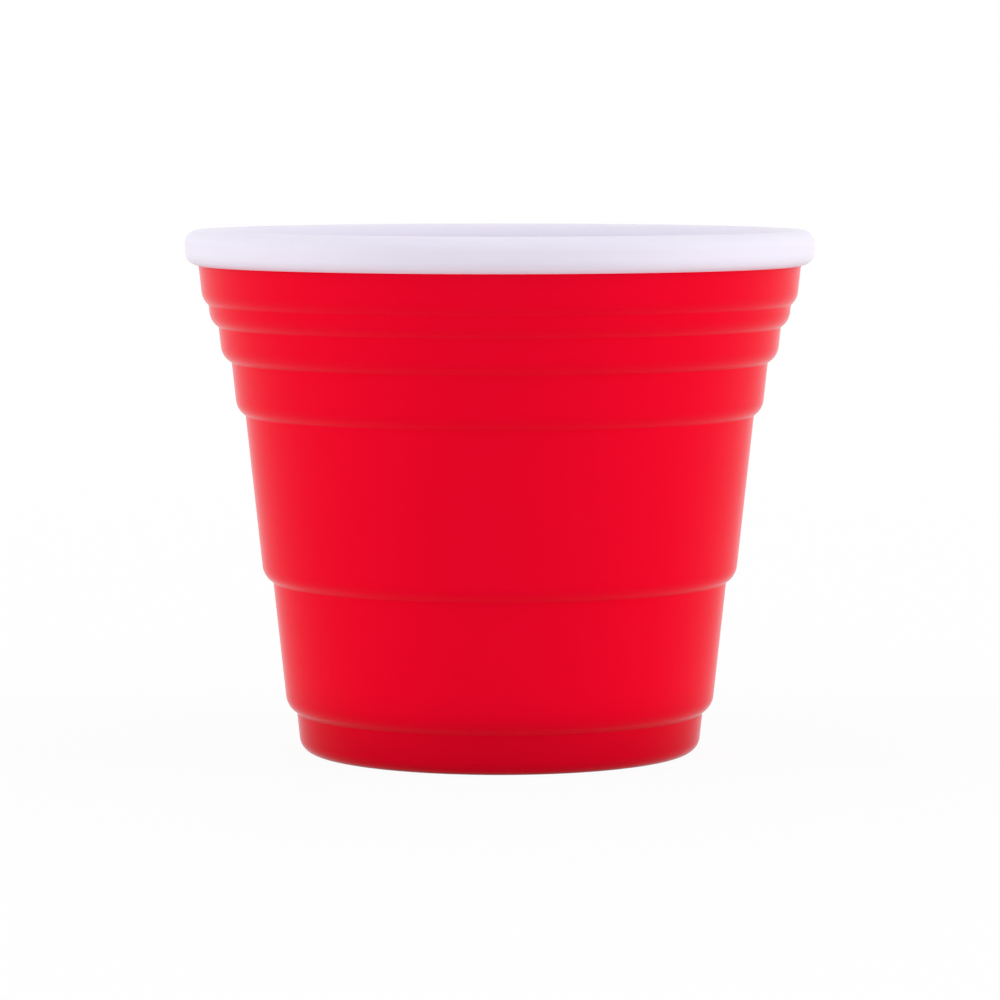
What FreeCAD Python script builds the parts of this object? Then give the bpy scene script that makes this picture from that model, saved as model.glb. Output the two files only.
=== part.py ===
# A small two-colour drinking cup with stepped sides, moulded as one piece.
# Origin at the centre of the foot, +Z up, millimetres.

import FreeCAD, Part
import math
import os

# Overall
cup_height = 47.5
rim_diameter = 57.0
wall = 1.5  # at the thinnest places, inside the ledges
draft_angle = 6.15  # degrees that the face of every tier leans out by

# Rim bead
rim_height = 3.15  # from the lip down to the bead's underside
rim_overhang = 1.2  # how far it stands out past the wall, and the radius of its rounds

# Stepped sides, named from the rim down. Each tier is a drafted face that ends in a
# rolled shoulder, cut off at a sharp ledge corner where the next tier starts.
# A step is how far in, measured level, that ledge corner lies.
collar_height = 3.6
collar_step = 0.51
groove_height = 2.0
groove_step = 0.68
band_height = 3.2
band_step = 0.82
shoulder_height = 4.8
shoulder_step = 0.72
grip_step = 0.82
base_height = 11.9
base_step = 0.83
roll_radius = 1.8  # radius of every rolled shoulder

# Foot and floor
foot_height = 3.7
foot_radius = 1.4  # between the foot's side and the ring that it stands on
foot_ring_width = 1.5
recess_depth = 1.2  # hollow under the floor, inside the foot ring
floor_thickness = 1.6
floor_radius = 3.0  # between the floor and the inside of the wall

# A round is drawn as level bands, and none of them turns by more than this.
band_turn = 33.0

# The tall grip takes the height that the other tiers leave.
grip_height = cup_height - rim_height - foot_height - base_height
grip_height -= collar_height + groove_height + band_height + shoulder_height

tiers = [
    (collar_height, collar_step),
    (groove_height, groove_step),
    (band_height, band_step),
    (shoulder_height, shoulder_step),
    (grip_height, grip_step),
    (base_height, base_step),
]

draft = math.radians(draft_angle)
down = FreeCAD.Vector(-math.sin(draft), 0, -math.cos(draft))  # down a drafted face
inward = FreeCAD.Vector(-math.cos(draft), 0, math.sin(draft))  # square to that face
outwards = FreeCAD.Vector(1, 0, 0)
plumb = FreeCAD.Vector(0, 0, -1)


def point(radius, height):
    return FreeCAD.Vector(radius, 0, height)


def reach(start, direction, height):
    """Where the line through start in a direction comes to a height."""
    return start + direction * ((height - start.z) / direction.z)


def arc(start, leaving, centre, turn):
    """Points along an arc that sets off from start in the direction leaving."""
    spoke = start - centre
    tangent = leaving * spoke.Length
    bands = math.ceil(turn / math.radians(band_turn))
    angles = [turn * i / bands for i in range(bands + 1)]
    return [centre + spoke * math.cos(a) + tangent * math.sin(a) for a in angles]


def corner(at, arriving, leaving, radius):
    """Points of the round at a corner, between two unit directions."""
    turn = arriving.getAngle(leaving)
    start = at - arriving * (radius * math.tan(turn / 2))
    hollow = (leaving - arriving).normalize()
    return arc(start, arriving, at + hollow * (radius / math.cos(turn / 2)), turn)


def shoulder(ledge, step):
    """Points of the shoulder that rolls from the face above in to a ledge corner."""
    depth = step * math.cos(draft)
    turn = math.acos(1 - depth / roll_radius)
    start = ledge - inward * depth - down * (roll_radius * math.sin(turn))
    return arc(start, down, start + inward * roll_radius, turn)


def cup_section():
    """Half of the cup's section, from the lip down the outside and back up the inside."""
    rim_radius = rim_diameter / 2
    rim_underside = cup_height - rim_height
    outline = corner(point(rim_radius, cup_height), outwards, plumb, rim_overhang)
    outline += corner(point(rim_radius, rim_underside), plumb, -outwards, rim_overhang)

    ledge = point(rim_radius - rim_overhang, rim_underside)
    ledges = []
    for height, step in tiers:
        ledge = reach(ledge, down, ledge.z - height) - outwards * step
        ledges.append(ledge)
        outline += shoulder(ledge, step)

    outline += corner(reach(ledge, down, 0), down, -outwards, foot_radius)
    ring_inside = outline[-1].x - foot_ring_width
    outline.append(point(ring_inside, 0))
    outline.append(point(ring_inside - recess_depth * math.tan(draft), recess_depth))
    outline.append(point(0, recess_depth))

    # The inside is two plain tapers. They meet inside the ledge over the grip.
    band_inside, grip_inside, base_inside = [at + inward * wall for at in ledges[2:5]]
    lower_taper = (grip_inside - base_inside).normalize()
    upper_taper = (band_inside - grip_inside).normalize()
    floor_level = recess_depth + floor_thickness
    floor_corner = reach(grip_inside, lower_taper, floor_level)
    inner_edge = reach(grip_inside, upper_taper, cup_height)
    lip_width = outline[0].x - inner_edge.x
    lip_round = lip_width / math.tan(upper_taper.getAngle(outwards) / 2)
    outline.append(point(0, floor_level))
    outline += corner(floor_corner, outwards, lower_taper, floor_radius)
    outline.append(grip_inside)
    outline += corner(inner_edge, upper_taper, outwards, lip_round)[:-1]
    return outline


outline = cup_section()
section = Part.Face(Part.makePolygon(outline + outline[:1]))
cup = section.revolve(point(0, 0), FreeCAD.Vector(0, 0, 1), 360)

os.makedirs("parts", exist_ok=True)
cup.exportStep("parts/cup.step")
print("cup:", round(cup.Volume), "mm3, valid" if cup.isValid() else "mm3, not valid")
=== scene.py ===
import bpy
import bmesh
import math
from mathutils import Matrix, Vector


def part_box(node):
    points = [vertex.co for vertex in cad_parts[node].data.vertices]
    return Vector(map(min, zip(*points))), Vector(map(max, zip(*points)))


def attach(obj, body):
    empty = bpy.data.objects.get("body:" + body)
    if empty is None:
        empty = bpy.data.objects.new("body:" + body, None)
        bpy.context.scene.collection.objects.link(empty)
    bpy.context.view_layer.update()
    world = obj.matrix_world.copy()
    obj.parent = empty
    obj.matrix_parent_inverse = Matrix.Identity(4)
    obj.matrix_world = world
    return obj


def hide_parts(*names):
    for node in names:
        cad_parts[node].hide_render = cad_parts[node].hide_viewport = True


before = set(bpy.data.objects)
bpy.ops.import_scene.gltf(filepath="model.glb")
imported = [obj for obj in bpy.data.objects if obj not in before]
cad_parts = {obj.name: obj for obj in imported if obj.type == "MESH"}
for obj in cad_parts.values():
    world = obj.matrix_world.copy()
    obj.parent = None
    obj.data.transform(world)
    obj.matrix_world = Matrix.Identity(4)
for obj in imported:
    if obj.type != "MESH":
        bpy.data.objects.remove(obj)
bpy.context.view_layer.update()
cupLow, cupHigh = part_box("cup")
mm = 0.001
print("frame loaded")


# The moulding, in millimetres and degrees. Its height and rim come from the frame.
cupShape = {
    "wall": 1.5,                # at the thinnest places, inside the ledges
    "draft": 6.15,              # every tier leans out by this much
    "rimHeight": 3.15,
    "rimOverhang": 1.2,         # also the radius of the bead's rounds
    "tiers": [                  # height and step of each, from the rim down
        ("collar", 3.6, 0.51),
        ("groove", 2.0, 0.68),
        ("band", 3.2, 0.82),
        ("shoulder", 4.8, 0.72),
        ("grip", 15.15, 0.82),
        ("base", 11.9, 0.83),
    ],
    "rollRadius": 1.8,          # the rolled shoulder over every ledge
    "footRadius": 1.4,
    "footRingWidth": 1.5,
    "recessDepth": 1.2,
    "recessRound": 0.4,
    "floorThickness": 1.6,
    "floorRadius": 3.0,
    "stepAngle": 7.5,           # no round turns by more than this from ring to ring
    "sides": 256,
    "creaseAngle": 20,          # a corner that turns further than this is a crease
    "bluntAngle": 25,           # and further than this it is blunted
    "edgeSoftness": 0.1,        # how far a mould leaves it blunt
    "edgeSegments": 2,
}


def deselectAll():
    if bpy.context.object and bpy.context.object.mode != "OBJECT":
        bpy.ops.object.mode_set(mode="OBJECT")
    bpy.ops.object.select_all(action="DESELECT")


def arcPoints(start, leaving, centre, turn):
    # along an arc that sets off from start in the direction leaving
    spoke = start - centre
    tangent = leaving * spoke.length
    steps = math.ceil(turn / math.radians(cupShape["stepAngle"]))
    angles = [turn * i / steps for i in range(steps + 1)]
    return [centre + spoke * math.cos(a) + tangent * math.sin(a) for a in angles]


def cornerPoints(at, arriving, leaving, radius):
    # the round at a corner, between two unit directions
    turn = arriving.angle(leaving)
    start = at - arriving * (radius * math.tan(turn / 2))
    hollow = (leaving - arriving).normalized()
    return arcPoints(start, arriving, at + hollow * (radius / math.cos(turn / 2)), turn)


def reach(start, direction, height):
    # where the line through start comes to a height
    return start + direction * ((height - start.y) / direction.y)


def outsidePoints(shape, rimRadius, height):
    # from the lip down the stepped side to the recess under the foot, with the ledges
    draft = math.radians(shape["draft"])
    down = Vector((-math.sin(draft), -math.cos(draft)))
    inward = Vector((-math.cos(draft), math.sin(draft)))
    outwards, plumb = Vector((1, 0)), Vector((0, -1))
    overhang = shape["rimOverhang"]
    beadBottom = height - shape["rimHeight"]

    points = cornerPoints(Vector((rimRadius, height)), outwards, plumb, overhang)
    points += cornerPoints(Vector((rimRadius, beadBottom)), plumb, -outwards, overhang)
    ledge = Vector((rimRadius - overhang, beadBottom))
    ledges = []
    for name, tierHeight, step in shape["tiers"]:
        ledge = reach(ledge, down, ledge.y - tierHeight) - outwards * step
        depth = step * math.cos(draft)
        roll = shape["rollRadius"]
        turn = math.acos(1 - depth / roll)
        start = ledge - inward * depth - down * (roll * math.sin(turn))
        points += arcPoints(start, down, start + inward * roll, turn)
        ledges.append(ledge)

    points += cornerPoints(reach(ledge, down, 0), down, -outwards, shape["footRadius"])
    ringInside = points[-1].x - shape["footRingWidth"]
    recessRadius = ringInside - shape["recessDepth"] * math.tan(draft)
    recessCorner = Vector((recessRadius, shape["recessDepth"]))
    upRecess = (recessCorner - Vector((ringInside, 0))).normalized()
    points.append(Vector((ringInside, 0)))
    points += cornerPoints(recessCorner, upRecess, -outwards, shape["recessRound"])
    return points, ledges, inward


def insidePoints(shape, ledges, inward, lip):
    # from the floor up the two plain tapers to the lip
    outwards = Vector((1, 0))
    band, grip, base = [at + inward * shape["wall"] for at in ledges[2:5]]
    lowerTaper = (grip - base).normalized()
    upperTaper = (band - grip).normalized()
    floorCorner = reach(grip, lowerTaper, shape["recessDepth"] + shape["floorThickness"])
    innerEdge = reach(grip, upperTaper, lip.y)
    lipRound = (lip.x - innerEdge.x) / math.tan(upperTaper.angle(outwards) / 2)
    points = cornerPoints(floorCorner, outwards, lowerTaper, shape["floorRadius"])
    points.append(grip)
    points += cornerPoints(innerEdge, upperTaper, outwards, lipRound)
    return points[:-1]


def pullRings(name, rings, sides):
    # a circle at the first ring, extruded and resized to each ring after it
    deselectAll()
    first = rings[0]
    bpy.ops.mesh.primitive_circle_add(
        vertices=sides, radius=first.x * mm, fill_type="NOTHING", location=(0, 0, first.y * mm))
    piece = bpy.context.object
    piece.name = piece.data.name = name
    bpy.ops.object.transform_apply(location=True, rotation=True, scale=True)
    bpy.ops.object.mode_set(mode="EDIT")
    bpy.ops.mesh.select_mode(type="EDGE")
    bpy.ops.mesh.select_all(action="SELECT")
    for before, after in zip(rings, rings[1:]):
        rise = (after.y - before.y) * mm
        grow = after.x / before.x
        bpy.ops.mesh.extrude_region_move(TRANSFORM_OT_translate={"value": (0, 0, rise)})
        bpy.ops.transform.resize(value=(grow, grow, 1), center_override=(0, 0, 0))
    bpy.ops.mesh.select_all(action="SELECT")
    bpy.ops.mesh.fill_holes(sides=0)
    bpy.ops.mesh.select_all(action="SELECT")
    bpy.ops.mesh.normals_make_consistent(inside=False)
    bpy.ops.object.mode_set(mode="OBJECT")
    return piece


def paintWhite(piece, beadBottom, floorLevel):
    # the bead, and whatever faces the axis or upwards from the floor up
    justUnderFloor = floorLevel - 0.01 * mm
    bpy.ops.object.mode_set(mode="EDIT")
    bpy.ops.mesh.select_mode(type="FACE")
    bpy.ops.mesh.select_all(action="DESELECT")
    mesh = bmesh.from_edit_mesh(piece.data)
    for face in mesh.faces:
        centre = face.calc_center_median()
        facesIn = face.normal.x * centre.x + face.normal.y * centre.y < 0
        facesUp = face.normal.z > 0.5
        inside = centre.z > justUnderFloor and (facesIn or facesUp)
        if centre.z > beadBottom or inside:
            face.select = True
    bmesh.update_edit_mesh(piece.data)
    piece.active_material_index = 1
    bpy.ops.object.material_slot_assign()
    bpy.ops.object.mode_set(mode="OBJECT")


def softenEdges(piece, shape):
    # blunts what the mould leaves sharp, then lets the large faces set the shading
    bpy.ops.object.shade_smooth_by_angle(angle=math.radians(shape["creaseAngle"]))
    bevel = piece.modifiers.new("bluntCorners", "BEVEL")
    bevel.limit_method = "ANGLE"
    bevel.angle_limit = math.radians(shape["bluntAngle"])
    bevel.width = shape["edgeSoftness"] * mm
    bevel.segments = shape["edgeSegments"]
    bpy.ops.object.modifier_apply(modifier=bevel.name)
    bpy.ops.object.shade_smooth()
    shading = piece.modifiers.new("evenShading", "WEIGHTED_NORMAL")
    shading.weight = 100        # the large faces decide
    bpy.ops.object.modifier_apply(modifier=shading.name)


# Plastics

redPlastic = {
    "colour": (0.875, 0.0003, 0.02),
    "paler": (0.895, 0.0006, 0.022),    # where the flow marks are
    "roughness": (0.16, 0.22),
    "specular": 0.02,
    "grainDepth": 0.004 * mm,
    "bloom": 0.12,            # how pale it gets where it turns away
    "bloomRoughness": 0.35,
    "paintedFootShade": 0.76,        # painted shade: the red is darker towards the foot
    "footFrom": 0.5 * mm,
    "footTo": 8 * mm,
}

whitePlastic = {
    "colour": (0.82, 0.78, 0.905),
    "paler": (0.84, 0.805, 0.915),
    "roughness": (0.40, 0.48),
    "specular": 0.06,
    "grainDepth": 0.003 * mm,
    "glow": 0.6,              # how much of the light spreads under the surface
    "glowDepth": 1 * mm,
}

mouldMarks = {
    "flowScale": 90,          # soft flow marks, per metre
    "flowDetail": 3,
    "grainScale": 2600,       # fine grain
    "grainDetail": 2,
    "grainSpan": (0.3, 0.7),  # the part of the noise that sets the roughness
}


def addNode(tree, kind, place, **settings):
    node = tree.nodes.new(kind)
    node.location = place
    for name, value in settings.items():
        setattr(node, name, value)
    return node


def mouldedPlastic(name, look):
    material = bpy.data.materials.new(name)
    material.use_nodes = True
    tree = material.node_tree
    link = tree.links.new
    plastic = tree.nodes["Principled BSDF"]
    plastic.inputs["Specular IOR Level"].default_value = look["specular"]

    where = addNode(tree, "ShaderNodeTexCoord", (-1100, 0))
    flow = addNode(tree, "ShaderNodeTexNoise", (-850, 200))
    flow.inputs["Scale"].default_value = mouldMarks["flowScale"]
    flow.inputs["Detail"].default_value = mouldMarks["flowDetail"]
    grain = addNode(tree, "ShaderNodeTexNoise", (-850, -200))
    grain.inputs["Scale"].default_value = mouldMarks["grainScale"]
    grain.inputs["Detail"].default_value = mouldMarks["grainDetail"]
    link(where.outputs["Object"], flow.inputs["Vector"])
    link(where.outputs["Object"], grain.inputs["Vector"])

    tint = addNode(tree, "ShaderNodeMix", (-500, 300), data_type="RGBA")
    tint.inputs["A"].default_value = (*look["colour"], 1)
    tint.inputs["B"].default_value = (*look["paler"], 1)
    link(flow.outputs["Fac"], tint.inputs["Factor"])
    link(tint.outputs["Result"], plastic.inputs["Base Color"])

    satin = addNode(tree, "ShaderNodeMapRange", (-500, 0))
    satin.inputs["From Min"].default_value = mouldMarks["grainSpan"][0]
    satin.inputs["From Max"].default_value = mouldMarks["grainSpan"][1]
    satin.inputs["To Min"].default_value = look["roughness"][0]
    satin.inputs["To Max"].default_value = look["roughness"][1]
    link(grain.outputs["Fac"], satin.inputs["Value"])
    link(satin.outputs["Result"], plastic.inputs["Roughness"])

    bump = addNode(tree, "ShaderNodeBump", (-300, -250))
    bump.inputs["Distance"].default_value = look["grainDepth"]
    link(grain.outputs["Fac"], bump.inputs["Height"])
    link(bump.outputs["Normal"], plastic.inputs["Normal"])
    return material


def addBloom(material, look):
    # a pale sheen where the surface turns away from the eye
    plastic = material.node_tree.nodes["Principled BSDF"]
    plastic.inputs["Sheen Weight"].default_value = look["bloom"]
    plastic.inputs["Sheen Roughness"].default_value = look["bloomRoughness"]


def addGlow(material, look):
    # light of every colour spreads equally far under the surface
    plastic = material.node_tree.nodes["Principled BSDF"]
    plastic.inputs["Subsurface Weight"].default_value = look["glow"]
    plastic.inputs["Subsurface Radius"].default_value = (1, 1, 1)
    plastic.inputs["Subsurface Scale"].default_value = look["glowDepth"]


def paintFootShade(material, look):
    # painted shade: darkens the red towards the foot, by height
    tree = material.node_tree
    link = tree.links.new
    colour = tree.nodes["Principled BSDF"].inputs["Base Color"]
    above = colour.links[0].from_socket
    where = addNode(tree, "ShaderNodeTexCoord", (-1100, 600))
    split = addNode(tree, "ShaderNodeSeparateXYZ", (-900, 600))
    shade = addNode(tree, "ShaderNodeMapRange", (-700, 600), interpolation_type="SMOOTHSTEP")
    shade.inputs["From Min"].default_value = look["footFrom"]
    shade.inputs["From Max"].default_value = look["footTo"]
    shade.inputs["To Min"].default_value = look["paintedFootShade"]
    shade.inputs["To Max"].default_value = 1
    footShaded = addNode(tree, "ShaderNodeVectorMath", (-250, 400), operation="SCALE")
    link(where.outputs["Object"], split.inputs["Vector"])
    link(split.outputs["Z"], shade.inputs["Value"])
    link(above, footShaded.inputs["Vector"])
    link(shade.outputs["Result"], footShaded.inputs["Scale"])
    link(footShaded.outputs["Vector"], colour)


cupHeight = (cupHigh.z - cupLow.z) / mm
cupRimRadius = (cupHigh.x - cupLow.x) / 2 / mm
outside, ledges, inward = outsidePoints(cupShape, cupRimRadius, cupHeight)
inside = insidePoints(cupShape, ledges, inward, outside[0])
cup = pullRings("twoColourCup", outside[::-1] + inside[::-1], cupShape["sides"])
outsideRed = mouldedPlastic("redPlastic", redPlastic)
addBloom(outsideRed, redPlastic)
# painted shade on the red towards the foot
paintFootShade(outsideRed, redPlastic)
insideWhite = mouldedPlastic("whitePlastic", whitePlastic)
addGlow(insideWhite, whitePlastic)
cup.data.materials.append(outsideRed)
cup.data.materials.append(insideWhite)
floorLevel = cupShape["recessDepth"] + cupShape["floorThickness"]
paintWhite(cup, (cupHeight - cupShape["rimHeight"]) * mm, floorLevel * mm)
softenEdges(cup, cupShape)
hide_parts("cup")
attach(cup, "root")
print("cup modelled:", len(cup.data.polygons), "faces")


# Studio: a pale paper floor with painted shade round the foot, soft boxes at the sides and
# the back, and bright air all round, in metres, degrees and watts

studio = {
    "floorSize": 6.0,
    "floorGap": 0.01 * mm,    # the foot ring and the paper don't share a plane
    "floorColour": 0.93,
    "paintedShadeUnderCup": 0.8,          # painted shade: the paper is greyer round the foot, so less light comes back onto the undersides
    "paleFrom": 0.02,
    "paleTo": 0.1,
    "whiteness": 0.95,        # how far the floor by the cup is pure white to the eye
    "fadeFrom": 0.15,         # from here on out it turns to the white of the air
    "fadeTo": 0.6,
    "airFill": 0.66,
    "boxDistance": 1.0,
    "boxHeight": 0.45,
    "boxSize": (0.3, 0.9),
    "boxAim": (0, 0, 0.02),
    "softBoxes": [            # bearing from the camera's side, watts, seen in gloss
        ("leftBox", -75, 3.8, True),
        ("rightBox", 75, 4.5, True),
        ("backBox", 180, 1.6, False),    # it would burn out the top of the rim
    ],
}


def seenDirectly(tree):
    # 1 for what the camera, a gloss or a clear part looks at, 0 for what only lights the cup
    path = addNode(tree, "ShaderNodeLightPath", (-900, 300))
    eitherOne = addNode(tree, "ShaderNodeMath", (-700, 300), operation="MAXIMUM")
    anyOne = addNode(tree, "ShaderNodeMath", (-500, 300), operation="MAXIMUM")
    tree.links.new(path.outputs["Is Camera Ray"], eitherOne.inputs[0])
    tree.links.new(path.outputs["Is Glossy Ray"], eitherOne.inputs[1])
    tree.links.new(eitherOne.outputs["Value"], anyOne.inputs[0])
    tree.links.new(path.outputs["Is Transmission Ray"], anyOne.inputs[1])
    return anyOne.outputs["Value"]


def layFloor(low):
    deselectAll()
    bpy.ops.mesh.primitive_plane_add(size=studio["floorSize"], location=(0, 0, low))
    floor = bpy.context.object
    floor.name = "studioFloor"
    material = bpy.data.materials.new("whitePaper")
    material.use_nodes = True
    tree = material.node_tree
    link = tree.links.new
    paper = tree.nodes["Principled BSDF"]
    paper.inputs["Roughness"].default_value = 1
    paper.inputs["Specular IOR Level"].default_value = 0

    where = addNode(tree, "ShaderNodeTexCoord", (-900, 0))
    away = addNode(tree, "ShaderNodeVectorMath", (-700, 0), operation="LENGTH")
    # painted shade: the paper greys towards the foot
    paintedShadeGrey = addNode(tree, "ShaderNodeMapRange", (-500, -300), interpolation_type="SMOOTHSTEP")
    paintedShadeGrey.inputs["From Min"].default_value = studio["paleFrom"]
    paintedShadeGrey.inputs["From Max"].default_value = studio["paleTo"]
    paintedShadeGrey.inputs["To Min"].default_value = studio["paintedShadeUnderCup"]
    paintedShadeGrey.inputs["To Max"].default_value = studio["floorColour"]
    fade = addNode(tree, "ShaderNodeMapRange", (-500, 0), interpolation_type="SMOOTHSTEP")
    fade.inputs["From Min"].default_value = studio["fadeFrom"]
    fade.inputs["From Max"].default_value = studio["fadeTo"]
    fade.inputs["To Min"].default_value = studio["whiteness"]
    fade.inputs["To Max"].default_value = 1
    share = addNode(tree, "ShaderNodeMath", (-250, 200), operation="MULTIPLY")
    white = addNode(tree, "ShaderNodeEmission", (0, -200))
    blend = addNode(tree, "ShaderNodeMixShader", (300, 100))
    link(where.outputs["Object"], away.inputs[0])
    link(away.outputs["Value"], paintedShadeGrey.inputs["Value"])
    link(paintedShadeGrey.outputs["Result"], paper.inputs["Base Color"])
    link(away.outputs["Value"], fade.inputs["Value"])
    link(seenDirectly(tree), share.inputs[0])
    link(fade.outputs["Result"], share.inputs[1])
    link(share.outputs["Value"], blend.inputs["Fac"])
    link(paper.outputs["BSDF"], blend.inputs[1])
    link(white.outputs["Emission"], blend.inputs[2])
    link(blend.outputs["Shader"], tree.nodes["Material Output"].inputs["Surface"])
    floor.data.materials.append(material)


def hangSoftBox(name, bearing, power, glossy):
    angle = math.radians(bearing)
    aim = Vector(studio["boxAim"])
    away = Vector((math.sin(angle), -math.cos(angle), 0)) * studio["boxDistance"]
    place = away + Vector((0, 0, studio["boxHeight"]))
    deselectAll()
    bpy.ops.object.light_add(type="AREA", location=place)
    box = bpy.context.object
    box.name = name
    box.data.shape = "RECTANGLE"
    box.data.size, box.data.size_y = studio["boxSize"]
    box.data.energy = power
    box.rotation_euler = (aim - place).to_track_quat("-Z", "Y").to_euler()
    box.visible_glossy = glossy


def fillAir():
    world = bpy.data.worlds.new("whiteAir")
    bpy.context.scene.world = world
    world.use_nodes = True
    tree = world.node_tree
    air = tree.nodes["Background"]
    air.inputs["Color"].default_value = (1, 1, 1, 1)
    level = addNode(tree, "ShaderNodeMapRange", (-250, 200))
    level.inputs["To Min"].default_value = studio["airFill"]
    level.inputs["To Max"].default_value = 1
    tree.links.new(seenDirectly(tree), level.inputs["Value"])
    tree.links.new(level.outputs["Result"], air.inputs["Strength"])


layFloor(cupLow.z - studio["floorGap"])
for name, bearing, power, glossy in studio["softBoxes"]:
    hangSoftBox(name, bearing, power, glossy)
fillAir()
print("studio lit")


cameraView = {
    "distance": 425.1,        # from the point it looks at, in millimetres
    "pitch": 4.57,            # degrees down
    "aimSide": 0.02,
    "aimHeight": 22.9,
    "lens": 167.95,
    "sensor": 36,             # the width that the lens is given for, in millimetres
    "nearest": 0.01,          # nothing nearer than this is drawn, in metres
}


def setCamera(view):
    pitch = math.radians(view["pitch"])
    aim = Vector((view["aimSide"] * mm, 0, view["aimHeight"] * mm))
    away = Vector((0, -math.cos(pitch), math.sin(pitch))) * view["distance"] * mm
    deselectAll()
    bpy.ops.object.camera_add(location=aim + away)
    camera = bpy.context.object
    camera.rotation_euler = (math.pi / 2 - pitch, 0, 0)
    camera.data.lens = view["lens"]
    camera.data.sensor_width = view["sensor"]
    camera.data.clip_start = view["nearest"]
    bpy.context.scene.camera = camera


setCamera(cameraView)
bpy.context.scene.view_settings.view_transform = "Standard"
